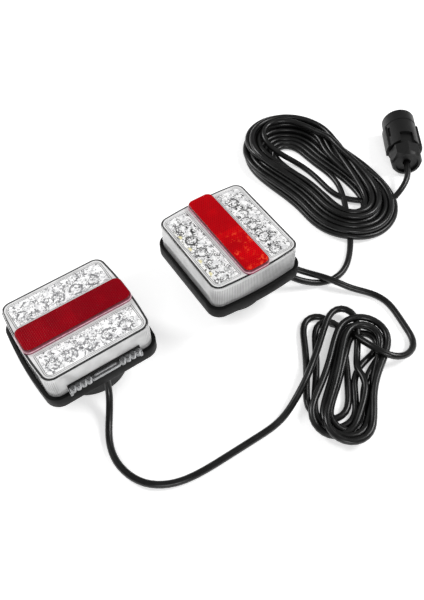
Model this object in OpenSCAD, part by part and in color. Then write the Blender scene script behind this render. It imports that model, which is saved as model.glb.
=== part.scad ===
// Magnetic trailer tail light kit: two square LED lamps on magnet feet, a link lead and a main lead with
// a plug. Millimetres, +Z up. The origin lies on the floor under the centre of the right lamp, and +X runs
// along the reflector bar of that lamp. The left lamp stands along -Y, a quarter turn round.

/* [Lamp] */
// Length of the lens along the reflector bar, at its corners
lens_l = 95; // [90:1:110]
// Width of the lens across the reflector bar
lens_w = 90; // [84:1:100]
// How far the two short ends of the lens bow outwards
end_bow = 3; // [1:0.5:5]
// Corner radius of the lens
lens_r = 9.5; // [6:0.5:12]
// Height of the lens above the top edge of the base
lens_rise = 25.5; // [20:0.5:30]
// Wall thickness of the lens
lens_wall = 2.2; // [1.8:0.1:2.6]
// Width of the red reflector bar
bar_w = 27; // [22:1:32]
// Height of the reflector bar above the lens face
bar_rise = 4.5; // [2:0.5:6]

/* [Base] */
// How far the base stands out round the lens
base_lip = 3.5; // [3:0.5:5]
// Height of the base
base_h = 13; // [12:0.5:15]
// Height of the underside of the base above the floor
base_z = 32; // [30:1:38]

/* [Magnet foot] */
// Radius of the magnet foot where it meets the floor
foot_r = 36; // [33:0.5:40]
// Radius of the column on top of the magnet foot
foot_top_r = 20; // [17:0.5:24]
// Radius of the bolt that holds the foot on the lamp
bolt_r = 3; // [2.5:0.5:4]

/* [Plug] */
// Overall length of the plug with its gland nut
plug_l = 68; // [64:1:80]
// Radius of the plug body, which is also the height of its axis
plug_r = 17.6; // [17:0.2:20]
// Radius of the gland nut over its corners
nut_r = 17; // [15:0.5:18]

/* [Cable] */
// Diameter of both leads
cable_d = 6.2; // [5:0.1:7]
// Height of the hank of main lead, which is three layers of cable over most of it
main_hank_h = 18.6; // [18:0.2:21]
// Height of the hank of link lead, which is three layers of cable
link_hank_h = 18.2; // [18:0.2:21]

/* [Hidden] */
$fn = 64;
cable_r = cable_d / 2;
lens_hx = lens_l / 2;
lens_hy = lens_w / 2;
base_top = base_z + base_h;
face_z = base_top + lens_rise;
floor_t = 2.5;
cavity_z = base_z + floor_t;
ledge_z = base_top - 4;
gasket_t = 1.5;
lens_z = ledge_z + gasket_t;
face_t = 2.5;
channel_d = 1;
screw_at = [lens_hx - 8.5, lens_hy - 8];
boss_z = base_z + 6;

// Where each lamp stands: x, y and the turn about Z
LEFT_AT = [3, -154.5, 91];
RIGHT_AT = [0, 0, 180];
// Cable holes through the floor of each base, in the frame of its own lamp
LEFT_HOLES = [[0, -40]];
RIGHT_HOLES = [[-27, -36], [-12, -40]];
hole_r = 5;

// Light emitting diodes: two rows of cups under clear panels, and a row of amber chips beside one of them
led_pitch = 16.5;
led_row_y = 28;
cup_r = 6.4;
chip_row_y = 34.9;
chip_w = 3.5;
board_z = 54;
board_t = 1.6;
tray_z = 57;
tray_top = 63;
post_at = [30, 10];

// Magnet foot levels
foot_gap = 0.3;
pad_t = 1;
cup_top = 9.5;
cup_plate = 2;
magnet_t = 6.2;
magnet_r = 29;
bolt_head_t = 4;
washer_z = cavity_z + 2;
washer_t = 1.5;
foot_nut_t = 5;
running = 0.06;

// Number plate window in the lower wall of the left lens
win_hx = 33.5;
win_lo = base_top + 0.5;
win_hi = base_top + 9;

// Plug, along its own +X axis from the gland nut to the mouth
PLUG_AT = [-12, 238.5, plug_r];
plug_turn = 146.3;
nut_l = 18;
neck_r = 12.4;
neck_gap = 2.5;
front_x = 54;
rear_step = 0.4;
pad_rise = 1.6;
mouth_r = plug_r - 3;
mouth_x = 44;
insert_l = 8;
pin_r = 2.5;
pin_ring = 10.5;

// Hank of main lead: a round end, a wider round end and the straight sides between them, as x, y, radius
MAIN_HANK = [[-122, 147, 45], [-14, 161, 55]];
// Hank of link lead: three round corners joined by straight sides, each as x, y, radius
LINK_HANK = [[126, 57, 29], [94, 33, 17], [180, -8, 22]];

// Routes of the stretches of cable that lie free, from the lamp or the plug to a hank
MAIN_LEAD = [
    [27, 36, 31], [28, 37, 27], [32, 40, 21], [38, 45, 15], [44, 53, 10], [50, 62, 6], [54, 70, 4],
    [57, 80, 3.2], [57, 92, 3.2], [54, 101, 3.2], [48, 110, 3.2], [40, 119, 3.2], [29, 129, 3.2],
    [18, 137, 3.2]
];
PLUG_LEAD = [
    [-16.7, 241.7, 17.6], [-12, 238.5, 17.6], [-7, 235.1, 17.4], [-2, 230.8, 16.8], [2.5, 226.5, 15.6],
    [6, 220.5, 14], [8.7, 213.5, 11.8], [11, 206, 9.5], [12, 198.5, 6], [8, 191, 3.8]
];
LINK_LEAD_B = [
    [12, 40, 31], [13, 41, 27], [17, 44, 21], [24, 50, 15.5], [33, 58, 11.5], [42, 66, 9.6], [51, 73, 9.5],
    [59, 78, 9.7], [67, 83, 8.4], [75, 89, 5.6], [82, 96, 3.7], [90, 103, 3.2], [100, 108, 3.2],
    [112, 109, 3.2], [126, 106, 3.2], [140, 103, 3.2], [153, 100, 3.4], [160, 92, 4.6], [162, 83, 7],
    [162, 75, 10], [158, 67, 13], [151, 61.5, 15]
];
LINK_LEAD_A = [
    [127, 1, 12], [134, -10, 11], [140, -22, 8.5], [145, -33, 6], [149, -44, 4.2], [151, -56, 3.4],
    [151, -72, 3.2], [151, -88, 3.2], [151, -104, 3.2], [151, -120, 3.2], [150, -136, 3.2], [147, -150, 3.2],
    [141, -162, 3.2], [132, -172, 3.2], [120, -178, 3.2], [107, -181, 3.2], [94, -180, 3.2], [82, -176, 3.4],
    [72, -170, 4.8], [63, -164, 8.4], [55, -158.5, 14], [48, -155, 21], [44, -153.8, 27], [43, -153.8, 31]
];

// ---- Shared shapes ----

module at_left() {
    translate([LEFT_AT[0], LEFT_AT[1], 0]) rotate([0, 0, LEFT_AT[2]]) children();
}

module at_right() {
    translate([RIGHT_AT[0], RIGHT_AT[1], 0]) rotate([0, 0, RIGHT_AT[2]]) children();
}

module slab(z0, z1) {
    translate([0, 0, z0]) linear_extrude(z1 - z0) children();
}

// Copies of the children at the four corners of a rectangle with the half sizes p
module corners(p) {
    for (sx = [-1, 1], sy = [-1, 1]) translate([sx * p[0], sy * p[1], 0]) children();
}

module round_rect(hx, hy, r) {
    square([2 * (hx - r), 2 * hy], center = true);
    square([2 * hx, 2 * (hy - r)], center = true);
    corners([hx - r, hy - r]) circle(r);
}

// Lamp outline: straight long sides, short ends that bow outwards on a large circle, round corners
module lamp_outline(grow, r) {
    hx = lens_hx + grow;
    hy = lens_hy + grow;
    flat_y = hy - r;
    bow_r = (hy * hy + end_bow * end_bow) / (2 * end_bow);
    shoulder = hx + end_bow * (1 - flat_y * flat_y / (hy * hy));
    round_rect(shoulder, hy, r);
    intersection() {
        square([2 * (hx + end_bow), 2 * flat_y], center = true);
        translate([hx + end_bow - bow_r, 0]) circle(bow_r, $fn = 360);
        translate([bow_r - hx - end_bow, 0]) circle(bow_r, $fn = 360);
    }
}

module ring(r_out, r_in, z0, z1) {
    translate([0, 0, z0]) difference() {
        cylinder(r = r_out, h = z1 - z0);
        translate([0, 0, -1]) cylinder(r = r_in, h = z1 - z0 + 2);
    }
}

// ---- Lamp ----

module lamp_base(holes) {
    color([0.1, 0.1, 0.11]) difference() {
        union() {
            difference() {
                slab(base_z, base_top) lamp_outline(base_lip, lens_r + 1.5);
                slab(ledge_z, base_top + 1) lamp_outline(0.4, lens_r);
                slab(cavity_z, ledge_z + 1) lamp_outline(-3, lens_r - 2.5);
            }
            translate([0, 0, base_z]) cylinder(r = 9, h = washer_z - base_z);
            corners(screw_at) translate([0, 0, base_z]) cylinder(r = 4.4, h = boss_z - base_z);
            corners(post_at) translate([0, 0, base_z]) cylinder(r = 3.5, h = board_z - base_z);
        }
        translate([0, 0, base_z - 1]) cylinder(r = bolt_r + 0.1, h = 10);
        corners(screw_at) translate([0, 0, base_z - 1]) {
            cylinder(r = 1.6, h = 10);
            cylinder(r = 3.2, h = 3.5);
        }
        for (p = holes) translate([p[0], p[1], base_z - 1]) cylinder(r = hole_r, h = floor_t + 2);
    }
}

module lens_gasket() {
    color([0.05, 0.05, 0.05]) difference() {
        slab(ledge_z, lens_z) lamp_outline(0.2, lens_r);
        slab(ledge_z - 1, lens_z + 1) lamp_outline(-2.6, lens_r - 2.2);
    }
}

module lens(window) {
    color([0.92, 0.94, 0.95, 0.45]) difference() {
        union() {
            difference() {
                slab(lens_z, face_z) lamp_outline(0, lens_r);
                slab(lens_z - 1, face_z - face_t) lamp_outline(-lens_wall, lens_r - lens_wall);
            }
            corners(screw_at) translate([0, 0, boss_z]) cylinder(r = 3.2, h = face_z - face_t - boss_z + 0.5);
        }
        translate([0, 0, face_z]) cube([2 * lens_l, bar_w + 0.4, 2 * channel_d], center = true);
        corners(screw_at) translate([0, 0, boss_z - 1]) cylinder(r = 1.5, h = 15);
        if (window) {
            translate([-win_hx - 0.2, -lens_hy - 1, win_lo - 0.2])
                cube([2 * win_hx + 0.4, lens_wall + 2, win_hi - win_lo + 0.4]);
        }
    }
}

module reflector_bar() {
    color([0.75, 0.02, 0.04]) slab(face_z - channel_d, face_z + bar_rise) intersection() {
        lamp_outline(0, lens_r);
        round_rect(lens_hx + end_bow - 0.3, bar_w / 2, 6.5);
    }
}

module led_points() {
    for (i = [-2:2], s = [-1, 1]) translate([i * led_pitch, s * led_row_y, 0]) children();
}

module chip_points() {
    for (i = [-1.5:1:1.5]) translate([i * led_pitch, chip_row_y, 0]) children();
}

module led_tray() {
    cup_d = tray_top - tray_z - 1;
    color([0.86, 0.87, 0.89]) difference() {
        slab(tray_z, tray_top) difference() {
            lamp_outline(-4, lens_r - 4);
            corners(screw_at) circle(4);
        }
        led_points() {
            translate([0, 0, tray_top - cup_d]) cylinder(r1 = 2.8, r2 = cup_r, h = cup_d + 0.01);
            translate([0, 0, tray_z - 1]) cylinder(r = 2.8, h = 4);
        }
        chip_points() translate([0, 0, tray_z + 3]) cube([4.4, 4.4, 8], center = true);
    }
    color([0.86, 0.87, 0.89]) corners(post_at) translate([0, 0, board_z + board_t]) cylinder(r = 3, h = 1.4);
}

module circuit_board() {
    color([0.1, 0.35, 0.18]) slab(board_z, board_z + board_t) difference() {
        lamp_outline(-5.5, lens_r - 5);
        corners(screw_at) circle(4);
    }
}

module led_chips() {
    color([0.95, 0.93, 0.8]) led_points() translate([0, 0, board_z + board_t]) {
        cylinder(r = 2.4, h = 1.6);
        translate([0, 0, 1.6]) intersection() {
            sphere(2.4);
            cylinder(r = 3, h = 3);
        }
    }
}

// Square yellow light blocks on the board, up to the height top
module amber_chips(top) {
    color([0.95, 0.8, 0.3]) chip_points() translate([-chip_w / 2, -chip_w / 2, board_z + board_t])
        cube([chip_w, chip_w, top - board_z - board_t]);
}

module lens_screws() {
    color([0.75, 0.76, 0.78]) corners(screw_at) translate([0, 0, base_z + 0.3]) {
        cylinder(r = 2.9, h = 2.1);
        cylinder(r = 1.5, h = 16);
    }
}

module grommets(holes) {
    color([0.06, 0.06, 0.06]) for (p = holes) translate([p[0], p[1], 0]) {
        ring(hole_r + 1.2, cable_r, base_z - 1.2, base_z);
        ring(hole_r, cable_r, base_z, cavity_z);
    }
    // Upper flanges, trimmed along the wall of the base
    color([0.06, 0.06, 0.06]) intersection() {
        for (p = holes) translate([p[0], p[1], 0]) ring(hole_r + 1, cable_r, cavity_z, cavity_z + 1.2);
        slab(cavity_z, ledge_z) lamp_outline(-3.2, lens_r - 2.7);
    }
}

module plate_window() {
    // Scalloped light guide: a straight bar between two groups of four upright ribs
    mid_hx = 13;
    rib_r = 2.6;
    color([0.9, 0.92, 0.93, 0.6]) {
        translate([-win_hx, -lens_hy - 1.5, win_lo]) cube([2 * win_hx, 3.5, win_hi - win_lo]);
        translate([-mid_hx, -lens_hy - 4, win_lo]) cube([2 * mid_hx, 3, 3]);
        for (s = [-1, 1], i = [0:3])
            translate([s * (mid_hx + 2.7 + 4.9 * i), -lens_hy - 2.4, win_lo]) cylinder(r = rib_r, h = 6);
    }
}

module plate_board() {
    color([0.1, 0.35, 0.18]) {
        translate([-30, -41.4, cavity_z + 7.5]) cube([60, 1.4, 11]);
        for (s = [-1, 1]) translate([s * 25 - 4, -41.4, cavity_z]) cube([8, 1.4, 8]);
    }
}

module plate_leds() {
    color([0.95, 0.93, 0.8]) for (i = [-1:1])
        translate([i * 20, -41.4, win_lo + 4]) rotate([90, 0, 0]) cylinder(r = 2, h = 1);
}

// ---- Magnet foot ----

module foot_bolt() {
    plate_z = cup_top - cup_plate;
    color([0.7, 0.71, 0.73]) {
        translate([0, 0, plate_z - bolt_head_t - 0.1]) cylinder(r = 5.5, h = bolt_head_t, $fn = 6);
        translate([0, 0, plate_z - 1]) cylinder(r = bolt_r, h = washer_z + 10 - plate_z);
    }
}

module foot_washer() {
    color([0.7, 0.71, 0.73]) ring(7.5, bolt_r + 0.2, washer_z, washer_z + washer_t);
}

module foot_nut() {
    color([0.7, 0.71, 0.73]) translate([0, 0, washer_z + washer_t]) difference() {
        cylinder(r = 5.8, h = foot_nut_t, $fn = 6);
        translate([0, 0, -1]) cylinder(r = bolt_r, h = foot_nut_t + 2);
    }
}

// Rubber covered skirt and column of the foot, turned about the bolt
module foot_shell() {
    top = base_z - foot_gap;
    shoulder_z = cup_top + 3;
    color([0.12, 0.12, 0.13]) rotate_extrude($fn = 96) polygon([
        [foot_r - 3, 0], [foot_r, 0], [foot_r - 1, shoulder_z], [foot_top_r + 4, 20], [foot_top_r, 24],
        [foot_top_r, top], [bolt_r + running, top], [bolt_r + running, cup_top], [foot_r - 3, cup_top]
    ]);
}

module foot_steel_cup() {
    plate_z = cup_top - cup_plate;
    color([0.62, 0.63, 0.65]) difference() {
        translate([0, 0, pad_t]) cylinder(r = foot_r - 3, h = cup_top - pad_t);
        translate([0, 0, pad_t - 1]) cylinder(r = magnet_r, h = plate_z - pad_t + 1);
        cylinder(r = bolt_r + 0.3, h = cup_top + 1);
    }
}

module foot_magnet() {
    plate_z = cup_top - cup_plate;
    color([0.35, 0.35, 0.37]) ring(magnet_r, 9, plate_z - magnet_t, plate_z);
}

module foot_pad() {
    color([0.08, 0.08, 0.08]) ring(foot_r - 3, 9, 0, pad_t);
}

// ---- Plug ----

module at_plug() {
    translate(PLUG_AT) rotate([0, 0, plug_turn]) children();
}

module bar_x(r, x0, x1) {
    translate([x0, 0, 0]) rotate([0, 90, 0]) cylinder(r = r, h = x1 - x0);
}

module plug_shell() {
    rear_r = plug_r - rear_step;
    rear_x = nut_l + neck_gap;
    cup_x = mouth_x - insert_l;
    color([0.13, 0.13, 0.14]) difference() {
        union() {
            bar_x(neck_r, 6, rear_x + 1);
            bar_x(rear_r, rear_x, front_x);
            bar_x(plug_r, front_x, plug_l);
            intersection() {
                bar_x(plug_r + pad_rise, rear_x, front_x - 1.5);
                for (s = [-1, 1]) translate([0, s * plug_r - 8, -7]) cube([plug_l, 16, 14]);
            }
        }
        bar_x(9, 5, rear_x + 3.5);
        bar_x(11, rear_x + 3, cup_x - 1);
        bar_x(14, cup_x - 2, cup_x + 1);
        bar_x(mouth_r, cup_x, plug_l + 1);
        // Deep window next to the gland nut, and a narrow slot along one side pad
        rotate([3, 0, 0]) translate([nut_l, -7, plug_r - 4.6]) cube([15, 14, 8]);
        rotate([-58, 0, 0]) translate([34, -1.5, plug_r - 2]) cube([14, 3, 5]);
    }
}

module plug_pin_carrier() {
    color([0.2, 0.2, 0.21]) difference() {
        bar_x(mouth_r, mouth_x - insert_l, mouth_x);
        pin_points() bar_x(pin_r, mouth_x - insert_l - 1, mouth_x + 1);
    }
}

module pin_points() {
    children();
    for (i = [0:5]) rotate([60 * i + 30, 0, 0]) translate([0, 0, pin_ring]) children();
}

module plug_pins() {
    color([0.85, 0.75, 0.45]) pin_points() bar_x(pin_r, mouth_x - insert_l - 1, plug_l - 8);
}

module plug_cable_seal() {
    color([0.08, 0.08, 0.08]) difference() {
        bar_x(9, 5.5, 13);
        bar_x(cable_r, 4, 14);
    }
}

module plug_gland_nut() {
    color([0.1, 0.1, 0.11]) difference() {
        intersection() {
            rotate([0, 90, 0]) cylinder(r = nut_r, h = nut_l, $fn = 8);
            rotate([0, 90, 0]) cylinder(r1 = nut_r - 2.6, r2 = nut_r + 6.4, h = nut_l);
        }
        bar_x(nut_r - 5, -1, 3);
        bar_x(cable_r + 1.2, -1, nut_l + 1);
        bar_x(neck_r + running, 5, nut_l + 1);
    }
}

// ---- Cable ----

// Unit vector along a route at point i
function heading(path, i) =
    let (a = path[max(i - 1, 0)], b = path[min(i + 1, len(path) - 1)]) (b - a) / norm(b - a);

// Corners of the cable's ring of sides at point i, square to the route
function cable_ring(path, i, r, sides) =
    let (
        t = heading(path, i),
        flat = cross(t, abs(t[2]) > 0.9 ? [0, 1, 0] : [0, 0, 1]),
        u = flat / norm(flat),
        v = cross(u, t)
    )
    [for (k = [0:sides - 1]) path[i] + r * cos(360 * k / sides) * u + r * sin(360 * k / sides) * v];

module cable_tube(path) {
    sides = 10;
    rings = len(path);
    points = [for (i = [0:rings - 1]) each cable_ring(path, i, cable_r, sides)];
    walls = [
        for (i = [0:rings - 2], k = [0:sides - 1])
            let (a = i * sides + k, b = i * sides + (k + 1) % sides) [a, b, b + sides, a + sides]
    ];
    first_end = [for (k = [0:sides - 1]) sides - 1 - k];
    last_end = [for (k = [0:sides - 1]) (rings - 1) * sides + k];
    color([0.07, 0.07, 0.07]) polyhedron(points, concat([first_end], walls, [last_end]), convexity = 6);
}

module round_hank(ends, height) {
    color([0.07, 0.07, 0.07]) slab(0, height) hull() {
        for (c = ends) translate([c[0], c[1]]) circle(c[2]);
    }
}

at_left() lamp_base(LEFT_HOLES);  // left_base
at_left() lens_gasket();  // left_lens_gasket
at_left() lens(true);  // left_lens
at_left() reflector_bar();  // left_reflector_bar
at_left() led_tray();  // left_led_tray
at_left() circuit_board();  // left_circuit_board
at_left() led_chips();  // left_led_chips
at_left() amber_chips(tray_z + 0.6);  // left_amber_chips
at_left() lens_screws();  // left_lens_screws
at_left() grommets(LEFT_HOLES);  // left_cable_grommet
at_left() foot_bolt();  // left_foot_bolt
at_left() foot_washer();  // left_foot_washer
at_left() foot_nut();  // left_foot_nut
at_left() plate_window();  // left_plate_window
at_left() plate_board();  // left_plate_board
at_left() plate_leds();  // left_plate_leds
at_left() foot_shell();  // left_foot_shell
at_left() foot_steel_cup();  // left_foot_steel_cup
at_left() foot_magnet();  // left_foot_magnet
at_left() foot_pad();  // left_foot_pad
at_right() lamp_base(RIGHT_HOLES);  // right_base
at_right() lens_gasket();  // right_lens_gasket
at_right() lens(false);  // right_lens
at_right() reflector_bar();  // right_reflector_bar
at_right() led_tray();  // right_led_tray
at_right() circuit_board();  // right_circuit_board
at_right() led_chips();  // right_led_chips
at_right() amber_chips(face_z - face_t - 0.4);  // right_amber_chips
at_right() lens_screws();  // right_lens_screws
at_right() grommets(RIGHT_HOLES);  // right_cable_grommets
at_right() foot_bolt();  // right_foot_bolt
at_right() foot_washer();  // right_foot_washer
at_right() foot_nut();  // right_foot_nut
at_right() foot_shell();  // right_foot_shell
at_right() foot_steel_cup();  // right_foot_steel_cup
at_right() foot_magnet();  // right_foot_magnet
at_right() foot_pad();  // right_foot_pad
at_plug() plug_shell();
at_plug() plug_pin_carrier();
at_plug() plug_pins();
at_plug() plug_cable_seal();
at_plug() plug_gland_nut();
cable_tube(MAIN_LEAD);  // main_lead
round_hank(MAIN_HANK, main_hank_h);  // main_lead_hank
cable_tube(PLUG_LEAD);  // plug_lead
cable_tube(LINK_LEAD_B);  // link_lead_b
round_hank(LINK_HANK, link_hank_h);  // link_lead_hank
cable_tube(LINK_LEAD_A);  // link_lead_a
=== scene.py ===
import math

import bpy
import numpy as np
from mathutils import Matrix, Vector, geometry


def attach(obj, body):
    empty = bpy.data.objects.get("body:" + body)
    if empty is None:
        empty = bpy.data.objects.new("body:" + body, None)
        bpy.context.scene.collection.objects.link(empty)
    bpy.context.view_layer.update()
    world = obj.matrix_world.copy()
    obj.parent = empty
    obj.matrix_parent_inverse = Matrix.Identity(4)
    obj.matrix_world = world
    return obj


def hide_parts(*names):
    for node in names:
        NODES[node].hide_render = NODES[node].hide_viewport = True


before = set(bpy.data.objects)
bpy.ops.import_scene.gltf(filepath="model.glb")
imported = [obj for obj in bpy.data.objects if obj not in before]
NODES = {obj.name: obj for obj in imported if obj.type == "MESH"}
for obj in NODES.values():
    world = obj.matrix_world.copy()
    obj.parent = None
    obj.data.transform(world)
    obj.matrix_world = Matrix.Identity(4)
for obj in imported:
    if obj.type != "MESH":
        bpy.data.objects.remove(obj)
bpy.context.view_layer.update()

MM = 0.001

# ---- Camera ----

CAMERA_TARGET = (0.0096, -0.0254, 0.0)
CAMERA_AZIMUTH = 59.24
CAMERA_ELEVATION = 54.05
CAMERA_ROLL = -2.91
CAMERA_DISTANCE = 0.6618
CAMERA_LENS = 41.38


def make_camera():
    az, el, roll = (math.radians(a) for a in (CAMERA_AZIMUTH, CAMERA_ELEVATION, CAMERA_ROLL))
    back = Vector((math.sin(az) * math.cos(el), -math.cos(az) * math.cos(el), math.sin(el)))
    right = (-back).cross(Vector((0, 0, 1))).normalized()
    up = right.cross(-back)
    x_axis = math.cos(roll) * right + math.sin(roll) * up
    y_axis = -math.sin(roll) * right + math.cos(roll) * up
    data = bpy.data.cameras.new("camera")
    data.lens = CAMERA_LENS
    data.sensor_width = 36
    data.clip_start = 0.02
    data.clip_end = 20
    camera = bpy.data.objects.new("camera", data)
    bpy.context.scene.collection.objects.link(camera)
    turn = Matrix((x_axis, y_axis, back)).transposed().to_4x4()
    camera.matrix_world = Matrix.Translation(Vector(CAMERA_TARGET) + CAMERA_DISTANCE * back) @ turn
    bpy.context.scene.camera = camera


make_camera()

# ---- Cords: routes in millimetres, as in the CAD source ----

CABLE_D = 6.2
FLOOR_Z = CABLE_D / 2
# Distance between turns that lie side by side, and between layers of them
PITCH, LAYER = 6.3, 5.5
# Distance between points along a cable, and points on each turn of the main hank
SPACING, TURN_POINTS = 5.0, 48

MAIN_LEAD = [
    (27, 36, 31), (28, 37, 27), (32, 40, 21), (38, 45, 15), (44, 53, 10), (50, 62, 6), (54, 70, 4),
    (57, 80, 3.2), (57, 92, 3.2), (54, 101, 3.2), (48, 110, 3.2), (40, 119, 3.2), (29, 129, 3.2),
    (18, 137, 3.2),
]
MAIN_LEAD_UNDER = [
    (7, 144, 3.2), (-12, 156, 3.2), (-26, 164, 3.2), (-43, 171, 3.2), (-60, 172, 3.2), (-76, 170, 3.2),
]
PLUG_LEAD = [
    (-16.7, 241.7, 17.6), (-12, 238.5, 17.6), (-7, 235.1, 17.4), (-2, 230.8, 16.8), (2.5, 226.5, 15.6),
    (6, 220.5, 14), (8.7, 213.5, 11.8), (11, 206, 9.5), (12, 198.5, 6), (8, 191, 3.8),
]
PLUG_LEAD_UNDER = [
    (-106, 190, 19), (-122, 186, 20), (-140, 176, 20), (-149, 162, 19), (-148, 148, 18), (-138, 139, 16),
    (-124, 138, 13), (-110, 143, 9), (-96, 150, 6), (-84, 155, 3.6), (-70, 157, 3.2), (-55, 157, 3.2),
    (-38, 156, 3.2), (-24, 159, 3.2), (-13, 168, 3.2), (-2, 181, 3.2),
]
LINK_LEAD_B = [
    (12, 40, 31), (13, 41, 27), (17, 44, 21), (24, 50, 15.5), (33, 58, 11.5), (42, 66, 9.6), (51, 73, 9.5),
    (59, 78, 9.7), (67, 83, 8.4), (75, 89, 5.6), (82, 96, 3.7), (90, 103, 3.2), (100, 108, 3.2),
    (112, 109, 3.2), (126, 106, 3.2), (140, 103, 3.2), (153, 100, 3.4), (160, 92, 4.6), (162, 83, 7),
    (162, 75, 10), (158, 67, 13), (151, 61.5, 15),
]
LINK_LEAD_B_OVER = [(141, 58.5, 14.5), (131, 57.5, 11), (121, 57.5, 7), (111, 57, 4), (101, 55, 3.2)]
LINK_LEAD_A_OVER = [
    (150, 34, 4), (135, 48, 5), (120, 61, 7), (110, 68.5, 8.5), (100, 71, 9.5), (92, 68, 9.5), (88, 60, 9.5),
    (90.5, 51, 9.5), (97.5, 41, 9.5), (105, 31, 9.5), (112, 22, 10), (120, 11, 11),
]
LINK_LEAD_A = [
    (127, 1, 12), (134, -10, 11), (140, -22, 8.5), (145, -33, 6), (149, -44, 4.2), (151, -56, 3.4),
    (151, -72, 3.2), (151, -88, 3.2), (151, -104, 3.2), (151, -120, 3.2), (150, -136, 3.2), (147, -150, 3.2),
    (141, -162, 3.2), (132, -172, 3.2), (120, -178, 3.2), (107, -181, 3.2), (94, -180, 3.2), (82, -176, 3.4),
    (72, -170, 4.8), (63, -164, 8.4), (55, -158.5, 14), (48, -155, 21), (44, -153.8, 27), (43, -153.8, 31),
]

# Innermost turn of the main hank, anticlockwise from above: place, and how far the turns are piled up there
MAIN_INNER = [
    (-88, 168, 0.8), (-106, 169, 1), (-119, 165, 1), (-126, 155, 1), (-123, 144, 0.8), (-110, 138, 0.4),
    (-88, 140, 0.1), (-60, 145, 0), (-35, 147, 0), (-13, 145, 0), (3, 150, 0), (8, 161, 0), (1, 172, 0),
    (-14, 178, 0), (-43, 177, 0.2), (-66, 172, 0.5),
]
# Where each turn lies across the hank, as turns from the innermost and layers up, spread out and piled up
MAIN_SPREAD = [
    (0, 0), (1, 0), (2, 0), (3, 0), (4, 0), (5, 0), (4.5, 1), (3.5, 1), (2.5, 1), (1.5, 1), (0.5, 1), (1.2, 2),
    (2.2, 2),
]
MAIN_PILE = [
    (0, 0), (1, 0), (2, 0), (3, 0), (4, 0), (5, 0), (5.5, 1), (4.5, 1), (3.5, 1), (5, 2), (4, 2), (6, 2),
    (5, 3),
]

# Turns of the link hank: centre, radius and height of the top bend, then of the bottom bend, and how far the
# left and the right side are drawn in half way along
LINK_TURNS = [
    ((93, 36), 13.5, 3.2, (158, -3), 18.5, 3.2, 2.5, -6),
    ((104, 42), 13, 3.6, (167, -4), 18.5, 4, 2.5, 0),
    ((131, 58), 15, 3.2, (177, 1), 16, 5, 2.5, 8),
    ((129, 58), 20, 3.2, (179, -3), 19, 7, 2.5, 3),
    ((130, 60), 17, 9.4, (184, -3), 20, 10.5, 2.5, 6),
    ((126, 60), 22, 9.4, (172, -7), 19.5, 5.5, 2.5, 3),
]


def cut_corners(behind, ahead):
    """Each stretch from a point behind to the one ahead, cut back to its middle half."""
    cut = np.empty((2 * len(ahead), 3))
    cut[0::2] = 0.75 * behind + 0.25 * ahead
    cut[1::2] = 0.25 * behind + 0.75 * ahead
    return cut


def distance_along(line):
    return np.concatenate([[0], np.cumsum(np.linalg.norm(np.diff(line, axis=0), axis=1))])


def smooth_path(points):
    """Points at equal spacing on a rounded line along the given ones."""
    line = np.array(points, float)
    for _ in range(2):
        line = np.vstack([line[:1], cut_corners(line[:-1], line[1:]), line[-1:]])
    along = distance_along(line)
    steps = np.linspace(0, along[-1], max(2, round(along[-1] / SPACING) + 1))
    return np.column_stack([np.interp(steps, along, line[:, k]) for k in range(3)])


def closed_frame(loop, samples):
    """Points, outward normals and pile shares at equal spacing round a closed loop."""
    line = np.array(loop, float)
    for _ in range(3):
        line = cut_corners(line, np.roll(line, -1, axis=0))
    line = np.vstack([line, line[:1]])
    along = distance_along(line[:, :2])
    steps = np.linspace(0, along[-1], samples, endpoint=False)
    x, y, share = (np.interp(steps, along, line[:, k]) for k in range(3))
    dx, dy = (np.roll(v, -1) - np.roll(v, 1) for v in (x, y))
    size = np.hypot(dx, dy)
    return x, y, dy / size, -dx / size, share


def step_between(t, start=0.62):
    """0 up to start, then a smooth rise to 1 at the end of the turn."""
    s = min(max((t - start) / (1 - start), 0), 1)
    return s * s * (3 - 2 * s)


def main_turns():
    """Turns of the main hank, each one stepping over to the next near its end."""
    x, y, nx, ny, share = closed_frame(MAIN_INNER, TURN_POINTS)
    rng = np.random.default_rng(7)
    points = []
    for turn in range(len(MAIN_PILE)):
        after = min(turn + 1, len(MAIN_PILE) - 1)
        drift = rng.normal(0, 0.5, 2)
        for i in range(TURN_POINTS):
            go = step_between(i / TURN_POINTS)
            across, layer = (
                (1 - share[i]) * ((1 - go) * MAIN_SPREAD[turn][k] + go * MAIN_SPREAD[after][k])
                + share[i] * ((1 - go) * MAIN_PILE[turn][k] + go * MAIN_PILE[after][k])
                for k in range(2)
            )
            out = PITCH * across
            place = (x[i] + nx[i] * out + drift[0], y[i] + ny[i] * out + drift[1])
            points.append((*place, FLOOR_Z + LAYER * layer))
    return points


def link_turns():
    """Each turn as two half circles, with its sides drawn in half way along."""
    points = []
    for top, top_r, top_z, bottom, bottom_r, bottom_z, left_in, right_in in LINK_TURNS:
        lean = math.atan2(bottom[1] - top[1], bottom[0] - top[0])
        waist = [(t + b) / 2 for t, b in zip((*top, top_r, top_z), (*bottom, bottom_r, bottom_z))]
        for centre, radius, z, first, drawn_in in ((top, top_r, top_z, 90, left_in),
                                                   (bottom, bottom_r, bottom_z, 270, right_in)):
            for i in range(7):
                a = lean + math.radians(first + 30 * i)
                points.append((centre[0] + radius * math.cos(a), centre[1] + radius * math.sin(a), z))
            out = waist[2] - drawn_in
            points.append((waist[0] + out * math.cos(a), waist[1] + out * math.sin(a), waist[3]))
    return points


# Settling: furthest push and steady sinking in a round, the rise that says which of two stretches is on top,
# the number of rounds, and how many points are compared at a time
PUSH_LIMIT, SINK, CLEAR_RISE, SETTLE_ROUNDS, SETTLE_BLOCK = 1.2, 0.03, 0.8, 60, 200


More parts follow.
